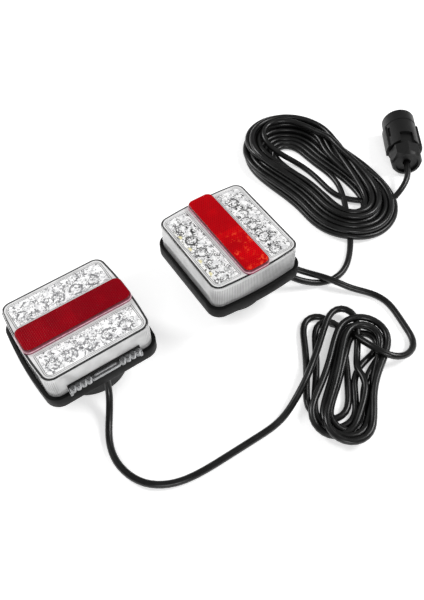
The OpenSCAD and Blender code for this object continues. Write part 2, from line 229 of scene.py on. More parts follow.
def settle(points, pinned):
    """Pushes stretches of cable that cut into each other apart, the later one up, and smooths the moves."""
    start = np.array(points)
    free = (~np.array(pinned)).astype(float)[:, None]
    moved = np.zeros_like(start)
    apart = int(2.5 * CABLE_D / SPACING) + 1
    for _ in range(SETTLE_ROUNDS):
        line = start + moved
        push = np.zeros_like(line)
        for i in range(0, len(line), SETTLE_BLOCK):
            gap = line[i:i + SETTLE_BLOCK, None, :] - line[None, :, :]
            far = np.linalg.norm(gap, axis=2)
            index = np.arange(i, min(i + SETTLE_BLOCK, len(line)))[:, None] - np.arange(len(line))[None, :]
            hit = (far < CABLE_D) & (np.abs(index) > apart)
            a, b = np.nonzero(hit)
            away = gap[a, b]
            rise = start[a + i, 2] - start[b, 2]
            away[:, 2] += 0.5 * CABLE_D * np.sign(np.where(np.abs(rise) > CLEAR_RISE, rise, index[a, b]))
            away /= np.linalg.norm(away, axis=1)[:, None] + 1e-9
            np.add.at(push, a + i, away * (CABLE_D - far[a, b])[:, None] * 0.25)
        moved += np.clip(push, -PUSH_LIMIT, PUSH_LIMIT) * free
        moved[:, 2] -= SINK
        for _ in range(2):
            moved[1:-1] = 0.5 * moved[1:-1] + 0.25 * (moved[:-2] + moved[2:])
        moved *= free
        moved[:, 2] = np.maximum(start[:, 2] + moved[:, 2], FLOOR_Z) - start[:, 2]
    for _ in range(4):
        moved[1:-1] = 0.5 * moved[1:-1] + 0.25 * (moved[:-2] + moved[2:])
        moved *= free
    laid = start + moved
    laid[:, 2] = np.maximum(laid[:, 2], FLOOR_Z)
    return laid


def cable_curve(name, points):
    """One open tube through every second point, which keeps its sides even."""
    points = np.vstack([points[:-2:2], points[-1:]])
    data = bpy.data.curves.new(name, "CURVE")
    data.dimensions = "3D"
    data.bevel_depth = 1.01
    data.bevel_resolution = 4
    data.resolution_u = 2
    data.use_fill_caps = True
    spline = data.splines.new("NURBS")
    spline.points.add(len(points) - 1)
    for p, q in zip(spline.points, points):
        p.co = (q[0] * MM, q[1] * MM, q[2] * MM, 1)
        p.radius = CABLE_D / 2 * MM
    spline.order_u = 3
    spline.use_endpoint_u = True
    obj = bpy.data.objects.new(name, data)
    bpy.context.scene.collection.objects.link(obj)
    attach(obj, "lamps_and_leads")
    return obj


def lay_cable(name, lead_in, turns, lead_out):
    """A cable along its leads and turns. The leads stay where they are, and the turns settle."""
    whole = smooth_path(lead_in + turns + lead_out)
    first = smooth_path(lead_in)
    last = smooth_path(lead_out)
    pinned = np.zeros(len(whole), bool)
    pinned[:len(first) - 3] = True
    pinned[-(len(last) - 3):] = True
    return cable_curve(name, settle(whole, pinned))


main_cable = lay_cable("main_cable", MAIN_LEAD + MAIN_LEAD_UNDER, main_turns(),
                       PLUG_LEAD_UNDER + PLUG_LEAD[::-1])
link_cable = lay_cable("link_cable", LINK_LEAD_B + LINK_LEAD_B_OVER, link_turns(),
                       LINK_LEAD_A_OVER + LINK_LEAD_A)
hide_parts("main_lead", "main_lead_hank", "plug_lead")
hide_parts("link_lead_b", "link_lead_hank", "link_lead_a")

# ---- Lamp sizes, in millimetres, in the frame of each lamp ----

# Place and turn of each lamp
LAMPS = {"left": ((3, -154.5), 91), "right": ((0, 0), 180)}
# Half sizes, the bow of the ends and the corner radius of the lens, then its foot, wall and face heights
LENS_HX, LENS_HY, END_BOW, LENS_R = 47.5, 45, 3, 9.5
LENS_Z, WALL_Z, FACE_Z = 42.5, 45, 70.5
# Points round the lens, the radius of its top edge, and the row of faces where the painted shade on the
# rounded edge starts
LENS_SPACING, EDGE_R, EDGE_SHADE_ROW = 0.4, 1.3, 7
FLUTE_PITCH, FLUTE_DEPTH = 1.6, 0.35
PANEL_HX, PANEL_IN, PANEL_OUT = 45.2, 15.2, 41.6
CUP_PITCH, CUP_Y, CUP_R = 16.5, 28, 6.4
CHIP_Y, CHIP_R = 34.9, 3.4
# How far the pattern of cups and chips in each panel lies from the cups below it
PATTERN_SHIFT = {"left": (-2.2, -3.7), "right": (-4.8, 2.9)}
BAR_HX, BAR_HY, BAR_R, BAR_Z, BAR_TOP = 50.2, 13.5, 6.5, 69.5, 75
BASE_LIP, BASE_Z, BASE_TOP, BASE_EDGE = 3.5, 32, 45, 1.6
CAVITY_Z, LEDGE_Z = 34.5, 41
SCREW_AT = (39, 37)
BOLT_HOLE_R, SCREW_HOLE_R, GROMMET_R = 3.1, 3.2, 5
WINDOW_HX, WINDOW_LO, WINDOW_HI = 33.5, 45.5, 54
RIB_X0, RIB_PITCH = 13, 4.9


# ---- Mesh and material tools ----

SHARP_ANGLE = math.radians(40)


def place_of(lamp):
    (x, y), turn = LAMPS[lamp]
    return Matrix.Translation((x * MM, y * MM, 0)) @ Matrix.Rotation(math.radians(turn), 4, "Z")


def add_piece(name, points, faces, body, materials, place=None, marks=None):
    """A piece from points in millimetres in its own frame. Marks give the material of each face."""
    data = bpy.data.meshes.new(name)
    data.from_pydata([(x * MM, y * MM, z * MM) for x, y, z in points], [], faces)
    for material in materials:
        data.materials.append(material)
    data.polygons.foreach_set("use_smooth", [True] * len(faces))
    if marks is not None:
        data.polygons.foreach_set("material_index", marks)
    data.set_sharp_from_angle(angle=SHARP_ANGLE)
    obj = bpy.data.objects.new(name, data)
    bpy.context.scene.collection.objects.link(obj)
    if place is not None:
        obj.matrix_world = place
    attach(obj, body)
    return obj


def add_mark(obj, name, values):
    """A number at each vertex that materials read by name."""
    obj.data.attributes.new(name, "FLOAT", "POINT").data.foreach_set("value", values)


def band(start, count, rows):
    """Faces between rows of a closed loft, count points to a row."""
    return [
        (start + r * count + i, start + r * count + (i + 1) % count,
         start + (r + 1) * count + (i + 1) % count, start + (r + 1) * count + i)
        for r in range(rows - 1) for i in range(count)
    ]


def node(mat, kind, inputs=None, **settings):
    """A shader node with its settings, and its inputs by name as a value or another node's output."""
    made = mat.node_tree.nodes.new("ShaderNode" + kind)
    for key, value in settings.items():
        setattr(made, key, value)
    for key, value in (inputs or {}).items():
        if isinstance(value, bpy.types.NodeSocket):
            mat.node_tree.links.new(value, made.inputs[key])
        else:
            made.inputs[key].default_value = value
    return made


def principled(name, color, roughness, **sockets):
    """A material with a Principled shader, and that shader. Socket names are given with _ for a space."""
    mat = bpy.data.materials.new(name)
    mat.use_nodes = True
    shader = mat.node_tree.nodes["Principled BSDF"]
    shader.inputs["Base Color"].default_value = (*color, 1)
    shader.inputs["Roughness"].default_value = roughness
    for key, value in sockets.items():
        shader.inputs[key.replace("_", " ")].default_value = value
    return mat, shader


def feed(mat, shader, **outputs):
    for key, output in outputs.items():
        mat.node_tree.links.new(output, shader.inputs[key.replace("_", " ")])


def object_place(mat):
    return node(mat, "TexCoord").outputs["Object"]


def noise(mat, size, detail=3, vector=None, roughness=0.5):
    """Noise with features of about that size, in metres."""
    place = vector or object_place(mat)
    inputs = {"Vector": place, "Scale": 1 / size, "Detail": detail, "Roughness": roughness}
    return node(mat, "TexNoise", inputs).outputs["Fac"]


def spread(mat, value, low, high, out_low=0.0, out_high=1.0):
    """Value from low to high, mapped from out_low to out_high and held there."""
    inputs = {"Value": value, "From Min": low, "From Max": high, "To Min": out_low, "To Max": out_high}
    return node(mat, "MapRange", inputs).outputs["Result"]


def mix(mat, share, first, second):
    """Colour that goes from first to second with the share."""
    made = node(mat, "Mix", {"Factor": share}, data_type="RGBA")
    for socket, color in zip((made.inputs[6], made.inputs[7]), (first, second)):
        if isinstance(color, bpy.types.NodeSocket):
            mat.node_tree.links.new(color, socket)
        else:
            socket.default_value = (*color, 1)
    return made.outputs[2]


def math_of(mat, operation, first, second=0.0):
    return node(mat, "Math", {0: first, 1: second}, operation=operation).outputs["Value"]


def bump(mat, shader, height, depth, socket="Normal", strength=1.0):
    inputs = {"Height": height, "Distance": depth, "Strength": strength}
    feed(mat, shader, **{socket: node(mat, "Bump", inputs).outputs["Normal"]})


# ---- Materials ----

def moulded(name, shade, roughness, grain=0.0005, depth=0.00004, patch=0.03, **sockets):
    """Moulded plastic or rubber: fine grain, uneven gloss and faint scuffs."""
    mat, shader = principled(name, (shade,) * 3, roughness, **sockets)
    broad = noise(mat, patch, 4)
    scuffs = noise(mat, 0.004, 6, roughness=0.75)
    tone = mix(mat, spread(mat, broad, 0.3, 0.7), (shade * 0.8,) * 3, (shade * 1.25,) * 3)
    worn = spread(mat, scuffs, 0.6, 0.78, 0, 0.35)
    feed(mat, shader, Base_Color=mix(mat, worn, tone, (shade * 2.2,) * 3))
    feed(mat, shader, Roughness=spread(mat, scuffs, 0.3, 0.75, roughness - 0.07, roughness + 0.1))
    bump(mat, shader, noise(mat, grain, 2), depth)
    return mat


def metal(name, color, roughness):
    """Plated or sintered metal with fine brushed streaks and dull patches."""
    mat, shader = principled(name, color, roughness, Metallic=1)
    stretch = node(mat, "Mapping", {"Vector": object_place(mat), "Scale": (1, 1, 12)}).outputs["Vector"]
    streaks = noise(mat, 0.0012, 4, stretch)
    feed(mat, shader, Roughness=spread(mat, streaks, 0.25, 0.75, roughness - 0.1, roughness + 0.15))
    feed(mat, shader, Base_Color=mix(mat, noise(mat, 0.01), tuple(0.75 * c for c in color), color))
    bump(mat, shader, streaks, 0.00002)
    return mat


def pebbles(mat, size, seed):
    """0 along the winding borders between pebbles, rising to 1 inside them."""
    place = node(mat, "Mapping", {"Vector": object_place(mat), "Location": (seed, 0, 0)}).outputs["Vector"]
    broad = {"Vector": place, "Scale": 1 / (1.6 * size), "Detail": 1}
    shift = node(mat, "TexNoise", broad).outputs["Color"]
    reach = (1.4 * size,) * 3
    moved = node(mat, "VectorMath", {0: shift, 1: reach}, operation="MULTIPLY").outputs["Vector"]
    warped = node(mat, "VectorMath", {0: place, 1: moved}, operation="ADD").outputs["Vector"]
    cells = node(mat, "TexVoronoi", {"Vector": warped, "Scale": 1 / size}, feature="DISTANCE_TO_EDGE")
    return cells.outputs["Distance"]


def panel_clear(name, seed, line_shade, alpha, painted_glow):
    """Clear pebbled panel: bright with a painted glow, with winding dark lines that crowd over the cups as
    painted shade of the cup walls below, which the mesh marks.
    """
    mat, shader = principled(name, (0.9, 0.9, 0.9), 0.12, Coat_Weight=0.6, Coat_Roughness=0.04)
    cups = node(mat, "Attribute", attribute_name="cup").outputs["Fac"]
    edge = pebbles(mat, 0.003, seed)
    lines = spread(mat, edge, 0.06, 0.14, 1, 0)
    # Painted shade: the dark lines crowd, and dark arcs gather, over the cup walls under the panel
    reach = math_of(mat, "ADD", noise(mat, 0.004, 2), math_of(mat, "MULTIPLY", cups, 0.14))
    dark = math_of(mat, "MULTIPLY", lines, spread(mat, reach, 0.53, 0.58))
    cup_wall_shade = math_of(mat, "MULTIPLY", spread(mat, cups, 0.6, 0.8),
                   spread(mat, noise(mat, 0.0045, 2), 0.46, 0.52, 0, 0.9))
    dashes = math_of(mat, "MULTIPLY", spread(mat, pebbles(mat, 0.0019, seed + 3), 0.05, 0.13, 1, 0),
                     spread(mat, noise(mat, 0.003, 2), 0.5, 0.58, 0, 0.85))
    shade = math_of(mat, "MAXIMUM", math_of(mat, "MAXIMUM", dark, dashes), cup_wall_shade)
    soft = mix(mat, spread(mat, noise(mat, 0.005, 3), 0.36, 0.55), (0.72, 0.72, 0.73), (1, 1, 1))
    chips = node(mat, "Attribute", attribute_name="chip").outputs["Fac"]
    drawn = mix(mat, shade, soft, (line_shade, line_shade, line_shade * 1.05))
    tinted = mix(mat, spread(mat, chips, 0.2, 0.6), drawn, (0.8, 0.74, 0.42))
    # Painted light: the panel glows in its own colour to look brighter
    feed(mat, shader, Base_Color=tinted, Emission_Color=tinted)
    shader.inputs["Emission Strength"].default_value = painted_glow
    feed(mat, shader, Alpha=spread(mat, shade, 0, 1, alpha, 0.97))
    bump(mat, shader, edge, 0.0004)
    return mat


def lens_clear(name, shade, alpha, ripple, flute_shade=0.45, painted_glow=0.0):
    """Clear wall over a bright inside: pale and glossy, with faint flow marks, painted shade in the flutes and
    towards the bottom, and a painted glow where one is given.
    """
    mat, shader = principled(name, (shade, shade, shade * 1.01), 0.1, Coat_Weight=1, Coat_Roughness=0.03)
    flow = noise(mat, 0.012, 4)
    tone = mix(mat, flow, (shade * 0.82,) * 3, (min(1, shade * 1.1),) * 3)
    # Painted shade in the flute grooves, as deep as each flute
    flutes = node(mat, "Attribute", attribute_name="flute").outputs["Fac"]
    fluted = mix(mat, flutes, tone, (shade * flute_shade,) * 3)
    # Painted shade: darker towards the bottom of the wall, for the dim inside seen through it
    height = node(mat, "SeparateXYZ", {"Vector": object_place(mat)}).outputs["Z"]
    deep = spread(mat, height, WALL_Z * MM, (FACE_Z - 2) * MM, 0.65, 0.08)
    tinted = mix(mat, deep, fluted, (shade * 0.3,) * 3)
    # The emission is painted light: a glow in the material's own colour that brightens it
    feed(mat, shader, Base_Color=tinted, Emission_Color=tinted)
    shader.inputs["Emission Strength"].default_value = painted_glow
    feed(mat, shader, Alpha=spread(mat, flow, 0.3, 0.7, alpha - 0.08, alpha + 0.08))
    feed(mat, shader, Roughness=spread(mat, noise(mat, 0.003), 0.3, 0.7, 0.08, 0.2))
    bump(mat, shader, noise(mat, ripple, 2), 0.00005)
    return mat


def prism_waves(mat, pitch):
    """Low hexagonal cells, as on the back of a reflector."""
    total = None
    for turn in (0, 60, 120):
        turned = node(mat, "Mapping", {"Vector": object_place(mat), "Rotation": (0, 0, math.radians(turn))})
        rows = {"Vector": turned.outputs["Vector"], "Scale": 0.314 / pitch}
        wave = node(mat, "TexWave", rows).outputs["Fac"]
        total = wave if total is None else math_of(mat, "ADD", total, wave)
    return spread(mat, total, 0.5, 2.6)


def reflector_red(name, bright, deep, painted_glow):
    """Red reflector: hexagonal prisms under a smooth coat, deeper in patches, with painted glints on one half.
    """
    mat, shader = principled(name, bright, 0.22, Specular_IOR_Level=0.05, Coat_Weight=0.12,
                             Coat_Roughness=0.03)
    prisms = prism_waves(mat, 0.0018)
    along = node(mat, "SeparateXYZ", {"Vector": object_place(mat)}).outputs["X"]
    tone = math_of(mat, "ADD", spread(mat, noise(mat, 0.02, 2), 0.35, 0.65),
                   spread(mat, along, 0.0, 0.0004, 0, -0.45))
    face = mix(mat, tone, deep, bright)
    dimmed = mix(mat, spread(mat, prisms, 0.1, 0.6, 0.4, 0), face, tuple(0.4 * c for c in deep))
    # Painted glints: sparse cells lightened to orange red on the half at -x
    cells = node(mat, "TexVoronoi", {"Vector": object_place(mat), "Scale": 1 / 0.0017}).outputs["Color"]
    glint = spread(mat, node(mat, "SeparateColor", {"Color": cells}).outputs[0], 0.65, 0.95)
    where = math_of(mat, "MULTIPLY", spread(mat, noise(mat, 0.01, 2), 0.44, 0.6),
                    spread(mat, along, 0.005, -0.012))
    lit = math_of(mat, "MULTIPLY", math_of(mat, "MULTIPLY", glint, where), painted_glow)
    feed(mat, shader, Base_Color=mix(mat, lit, dimmed, (1, 0.09, 0.03)))
    feed(mat, shader, Roughness=spread(mat, prisms, 0, 1, 0.15, 0.35))
    bump(mat, shader, prisms, 0.0002)
    return mat


def edge_glass(name, color, head_on_alpha, outline_alpha, roughness=0.06, coat=1):
    """Clear plastic in small round forms: nearly unseen head on, and pale along its outlines as a painted
    reflection.
    """
    mat, shader = principled(name, color, roughness, Coat_Weight=coat, Coat_Roughness=0.02)
    facing = node(mat, "LayerWeight", {"Blend": 0.5}).outputs["Facing"]
    flaws = noise(mat, 0.002, 3)
    # Painted reflection: the pale colour turns opaque where the surface faces away
    feed(mat, shader, Alpha=spread(mat, facing, 0.25, 0.75, head_on_alpha, outline_alpha))
    dim = tuple(0.7 * c for c in color)
    feed(mat, shader, Base_Color=mix(mat, spread(mat, flaws, 0.4, 0.6), dim, color))
    bump(mat, shader, flaws, 0.0001)
    return mat


def resin(name, color, roughness):
    """Cast resin with cloudy patches and a fine skin."""
    mat, shader = principled(name, color, roughness, Coat_Weight=0.5)
    cloud = noise(mat, 0.0015, 3)
    dim = tuple(0.7 * c for c in color)
    feed(mat, shader, Base_Color=mix(mat, spread(mat, cloud, 0.35, 0.65), dim, color))
    feed(mat, shader, Roughness=spread(mat, cloud, 0.3, 0.7, roughness, roughness + 0.15))
    bump(mat, shader, noise(mat, 0.0006, 2), 0.00003)
    return mat


def jacket():
    """Black PVC jacket of the cable: glossy, with long soft waves and dull rubbed patches."""
    mat, shader = principled("cable_jacket", (0.005, 0.005, 0.0055), 0.3, Specular_IOR_Level=0.45)
    rubbed = noise(mat, 0.012, 4)
    feed(mat, shader, Base_Color=mix(mat, spread(mat, rubbed, 0.45, 0.75), (0.004,) * 3, (0.01,) * 3))
    feed(mat, shader, Roughness=spread(mat, rubbed, 0.3, 0.7, 0.25, 0.37))
    bump(mat, shader, noise(mat, 0.02, 2), 0.0001)
    return mat


JACKET = jacket()
BLACK_PLASTIC = moulded("black_plastic", 0.005, 0.45, Specular_IOR_Level=0.1)
PLUG_PLASTIC = moulded("plug_plastic", 0.008, 0.42, Specular_IOR_Level=0.3)
BLACK_RUBBER = moulded("black_rubber", 0.006, 0.6, grain=0.0009, Specular_IOR_Level=0.2)
FOOT_RUBBER = moulded("foot_rubber", 0.01, 0.5, grain=0.0012, Specular_IOR_Level=0.3)
BOARD = moulded("circuit_board", 0.3, 0.4)
ZINC = metal("zinc_steel", (0.62, 0.63, 0.65), 0.32)
FERRITE = metal("magnet_ferrite", (0.12, 0.12, 0.13), 0.5)
BRASS = metal("brass_pins", (0.85, 0.66, 0.34), 0.25)
CHROME = metal("chrome_tray", (0.92, 0.92, 0.93), 0.25)
DOME = resin("led_dome", (0.95, 0.95, 0.9), 0.1)
AMBER = resin("amber_chip", (0.9, 0.78, 0.3), 0.35)

# ---- Lamp pieces ----

# Materials of each piece, in the order of its list
LENS_WALL, LENS_RIM, LENS_PANEL, LENS_GROOVE_SHADE, LENS_EDGE_SHADE = range(5)
BAR_FACE, BAR_SIDE, BAR_LEDGE_HIGHLIGHT, BAR_EDGE_SHADE = range(4)
WINDOW_CLEAR, WINDOW_DARK = range(2)


def lamp_outline(spacing):
    """Points round the lens and their outward normals, anticlockwise at equal spacing."""
    flat = LENS_HY - LENS_R
    bow = [(LENS_HX + END_BOW * (1 - (y / LENS_HY) ** 2), y) for y in np.linspace(0, flat, 40)]
    centre = bow[-1][0] - LENS_R
    turns = [math.radians(a) for a in range(3, 91, 3)]
    quarter = bow + [(centre + LENS_R * math.cos(a), flat + LENS_R * math.sin(a)) for a in turns]
    half = quarter + [(-x, y) for x, y in quarter[::-1]]
    line = np.array(half + [(-x, -y) for x, y in half[1:]])
    along = distance_along(line)
    steps = np.linspace(0, along[-1], round(along[-1] / spacing), endpoint=False)
    points = np.column_stack([np.interp(steps, along, line[:, k]) for k in range(2)])
    heading = np.roll(points, -2, axis=0) - np.roll(points, 2, axis=0)
    heading /= np.linalg.norm(heading, axis=1)[:, None]
    return points, np.column_stack([heading[:, 1], -heading[:, 0]])


def ring(points, normals, grow, z):
    moved = points + normals * np.reshape(grow, (-1, 1))
    return np.column_stack([moved, np.full(len(points), z)])


def rounded(x0, x1, y0, y1, radii, steps=8):
    """Rounded rectangle, anticlockwise from its lower right corner, with a radius for each corner."""
    corners = ((x1, y0, -1, 1, -90), (x1, y1, -1, -1, 0), (x0, y1, 1, -1, 90), (x0, y0, 1, 1, 180))
    points = []
    for (x, y, sx, sy, first), r in zip(corners, radii):
        for k in range(steps + 1):
            a = math.radians(first + 90 * k / steps)
            points.append((x + sx * r + r * math.cos(a), y + sy * r + r * math.sin(a)))
    return points


def panel_outline(side, inset):
    """Outline of the panel on one side of the bar, with wide round corners away from the bar."""
    outer, inner = max(6.5 - inset, 0.4), max(2 - inset, 0.4)
    x, near, far = PANEL_HX - inset, PANEL_IN + inset, PANEL_OUT - inset
    if side > 0:
        return rounded(-x, x, near, far, (inner, outer, outer, inner))
    return rounded(-x, x, -far, -near, (outer, inner, inner, outer))


# Border of a panel with its two fine grooves: inset from the outline and height above the face
PANEL_STEPS = [
    (0, 0), (0.15, -0.4), (0.55, -0.4), (0.7, 0), (1.3, 0), (1.45, -0.4), (1.85, -0.4), (2.0, -0.1),
]
GROOVE_STEPS = (1, 5)
PANEL_PITCH = 1.0


def face_between(outer, holes, z):
    """Triangles of a flat face with holes in it, as points and faces."""
    rings = [outer] + holes
    points, edges = [], []
    for loop in rings:
        start = len(points)
        points += [Vector(p) for p in loop]
        edges += [(start + i, start + (i + 1) % len(loop)) for i in range(len(loop))]
    done = geometry.delaunay_2d_cdt(points, edges, [], 0, 1e-5)
    spots, faces = done[0], done[2]

    def in_hole(x, y):
        return any(
            all((b[0] - a[0]) * (y - a[1]) > (b[1] - a[1]) * (x - a[0]) for a, b in zip(h, h[1:] + h[:1]))
            for h in holes
        )

    kept = []
    for face in faces:
        x, y = (sum(spots[i][k] for i in face) / len(face) for k in range(2))
        if not in_hole(x, y):
            kept.append(tuple(face))
    return [(x, y, z) for x, y in spots], kept


def cup_shade_share(x, y):
    """1 on the ring of a cup's wall under the panel, falling to 0 away from it: where the panel gets painted
    shade of that wall.
    """
    reach = math.hypot(x - CUP_PITCH * min(max(round(x / CUP_PITCH), -2), 2), abs(y) - CUP_Y)
    return max(0, 1 - abs(reach - 0.8 * CUP_R) / 2.6)


def chip_share(x, y):
    """1 over the middle of a yellow block that shows through the panel, falling to 0 at its edge."""
    nearest = CUP_PITCH * (min(max(math.floor(x / CUP_PITCH), -2), 1) + 0.5)
    return max(0, 1 - math.hypot(x - nearest, y - CHIP_Y) / CHIP_R)


def panel_grid(side, inset, pitch, z):
    """Fine flat triangles that fill a panel inside its borders."""
    outline = panel_outline(side, inset)
    xs, ys = [p[0] for p in outline], [p[1] for p in outline]
    points = [Vector(p) for p in outline]
    edges = [(i, (i + 1) % len(points)) for i in range(len(points))]
    for x in np.arange(min(xs) + pitch, max(xs) - pitch / 2, pitch):
        for y in np.arange(min(ys) + pitch, max(ys) - pitch / 2, pitch):
            points.append(Vector((x, y)))
    done = geometry.delaunay_2d_cdt(points, edges, [tuple(range(len(outline)))], 1, 1e-5)
    return [(x, y, z) for x, y in done[0]], [tuple(f) for f in done[2]]


def lens_piece(lamp, fluted, materials):
    """Lens: fluted or plain walls, a round top edge, a rim, and two bordered panels beside the bar."""
    points, normals = lamp_outline(LENS_SPACING)
    count = len(points)
    at_end = np.clip((np.abs(points[:, 0]) - 39) / 3, 0, 1)
    if fluted == "corners":
        at_end *= np.clip((np.abs(points[:, 1]) - 30) / 6, 0, 1)
    wave = 0.5 - 0.5 * np.cos(2 * math.pi * np.arange(count) * LENS_SPACING / FLUTE_PITCH)
    flute = -FLUTE_DEPTH * wave * at_end
    rows = [(0, LENS_Z), (0, WALL_Z), (flute, WALL_Z + 0.6), (flute, FACE_Z - 4), (0, FACE_Z - 3.2)]
    rows += [(EDGE_R * (math.cos(a) - 1), FACE_Z + EDGE_R * (math.sin(a) - 1))
             for a in (math.radians(d) for d in (0, 22, 45, 67, 90))]
    rows.append((-EDGE_R - 0.9, FACE_Z))
    verts = np.vstack([ring(points, normals, grow, z) for grow, z in rows]).tolist()
    faces = band(0, count, len(rows))
    # Faces on the rounded top edge get the painted shade, the rest are wall
    marks = [LENS_EDGE_SHADE if i // count >= EDGE_SHADE_ROW else LENS_WALL for i in range(len(faces))]
    rim = verts[-count:]
    holes = [panel_outline(side, 0) for side in (-1, 1)]
    spots, between = face_between([(x, y) for x, y, _ in rim[::4]], holes, FACE_Z)
    start = len(verts)
    verts += spots
    faces += [tuple(start + i for i in f) for f in between]
    marks += [LENS_RIM] * len(between)
    for side in (-1, 1):
        start = len(verts)
        for inset, rise in PANEL_STEPS:
            verts += [(x, y, FACE_Z + rise) for x, y in panel_outline(side, inset)]
        steps = len(panel_outline(side, 0))
        border = band(start, steps, len(PANEL_STEPS))
        faces += border
        # The bottoms of the two grooves get painted shade
        marks += [LENS_GROOVE_SHADE if i // steps in GROOVE_STEPS else LENS_RIM for i in range(len(border))]
        inset, rise = PANEL_STEPS[-1]
        spots, grid = panel_grid(side, inset, PANEL_PITCH, FACE_Z + rise)
        start = len(verts)
        verts += spots
        faces += [tuple(start + i for i in f) for f in grid]
        marks += [LENS_PANEL] * len(grid)
    obj = add_piece(lamp + "_lens_clear", verts, faces, "lamps_and_leads", materials,
                    place_of(lamp), marks)
    dx, dy = PATTERN_SHIFT[lamp]
    on_top = FACE_Z - 0.2
    # The cup mark places painted shade of the cup walls on the panel
    add_mark(obj, "cup", [cup_shade_share(x - dx, y - dy) if z > on_top else 0.0 for x, y, z in verts])
    if lamp == "right":
        add_mark(obj, "chip", [chip_share(x - dx, y - dy) if z > on_top else 0.0 for x, y, z in verts])
    # The flute mark, the depth of each flute, places painted shade in the flute grooves
    depth = (wave * at_end).tolist()
    add_mark(obj, "flute", [depth[i % count] if 2 <= i // count <= 3 else 0.0 for i in range(len(verts))])
    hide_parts(lamp + "_lens")


def bar_piece(lamp, materials):
    """Reflector bar: a block with bowed ends, a ledge round it painted pale as a highlight, painted shade on
    its rounded top edge, and a red face.
    """
    outline = np.array(rounded(-BAR_HX, BAR_HX, -BAR_HY, BAR_HY, (BAR_R,) * 4, 10))
    bow = END_BOW * (outline[:, 1] / LENS_HY) ** 2
    outline[:, 0] -= np.sign(outline[:, 0]) * bow
    heading = np.roll(outline, -1, axis=0) - np.roll(outline, 1, axis=0)
    heading /= np.linalg.norm(heading, axis=1)[:, None]
    normals = np.column_stack([heading[:, 1], -heading[:, 0]])
    # Rows up the side: the ledge rows are painted pale as a highlight and the rounded top edge dark as shade
    rows = [
        (0, BAR_Z, BAR_SIDE), (0, FACE_Z + 1.4, BAR_SIDE), (-0.15, FACE_Z + 1.8, BAR_LEDGE_HIGHLIGHT),
        (-0.5, FACE_Z + 2.1, BAR_LEDGE_HIGHLIGHT), (-0.7, BAR_TOP - 1, BAR_SIDE), (-0.9, BAR_TOP - 0.4, BAR_EDGE_SHADE),
        (-1.3, BAR_TOP - 0.05, BAR_EDGE_SHADE), (-1.7, BAR_TOP, BAR_FACE), (-4.5, BAR_TOP, BAR_FACE),
    ]
    verts = np.vstack([ring(outline, normals, grow, z) for grow, z, _ in rows]).tolist()
    count = len(outline)
    faces = band(0, count, len(rows))
    marks = [rows[1 + i // count][2] for i in range(len(faces))]
    faces.append(tuple(range(len(verts) - count, len(verts))))
    marks.append(BAR_FACE)
    obj = add_piece(lamp + "_bar_red", verts, faces, "lamps_and_leads", materials,
                    place_of(lamp), marks)
    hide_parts(lamp + "_reflector_bar")


def circle(x, y, r, steps=24):
    turns = [2 * math.pi * k / steps for k in range(steps)]
    return [(x + r * math.cos(a), y + r * math.sin(a)) for a in turns]


def base_piece(lamp, cable_holes, material):
    """Base: rounded lower edge, upright side, narrow lip round the lens, and a floor with its holes."""
    points, normals = lamp_outline(1.5)
    low = [(BASE_LIP - BASE_EDGE * (1 - math.sin(a)), BASE_Z + BASE_EDGE * (1 - math.cos(a)))
           for a in (math.radians(d) for d in (0, 20, 40, 60, 90))]
    rows = low + [(BASE_LIP, BASE_TOP - 1), (BASE_LIP - 0.3, BASE_TOP - 0.3), (BASE_LIP - 1, BASE_TOP),
                  (0.5, BASE_TOP), (0.4, LEDGE_Z), (-3, LEDGE_Z), (-3, CAVITY_Z)]
    verts = np.vstack([ring(points, normals, grow, z) for grow, z in rows]).tolist()
    count = len(points)
    faces = band(0, count, len(rows))
    holes = [circle(x, y, GROMMET_R) for x, y in cable_holes] + [circle(0, 0, BOLT_HOLE_R)]
    holes += [circle(sx * SCREW_AT[0], sy * SCREW_AT[1], SCREW_HOLE_R) for sx in (-1, 1) for sy in (-1, 1)]
    for outer, z in ((verts[:count], BASE_Z), (verts[-count:], CAVITY_Z)):
        spots, floor = face_between([p[:2] for p in outer], holes, z)
        start = len(verts)
        verts += spots
        faces += [tuple(start + i for i in f) for f in floor]
    for hole in holes:
        start = len(verts)
        verts += [(x, y, z) for z in (BASE_Z, CAVITY_Z) for x, y in hole]
        faces += band(start, len(hole), 2)
    obj = add_piece(lamp + "_base_shell", verts, faces, "lamps_and_leads", [material],
                    place_of(lamp))
    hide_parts(lamp + "_base")


def block(verts, faces, outline, z0, z1, edge):
    """Adds an upright block with a rounded top edge; returns how many faces it has."""
    centre = np.mean(outline, axis=0)
    reach = np.abs(np.array(outline) - centre).max()
    start, count = len(verts), len(outline)
    rows = [(0, z0), (0, z1 - edge), (0.3 * edge, z1 - 0.3 * edge), (edge, z1)]
    for inset, z in rows:
        verts += [(*(centre + (np.array(p) - centre) * (1 - inset / reach)), z) for p in outline]
    made = band(start, count, len(rows)) + [tuple(range(len(verts) - count, len(verts)))]
    faces += made
    return len(made)


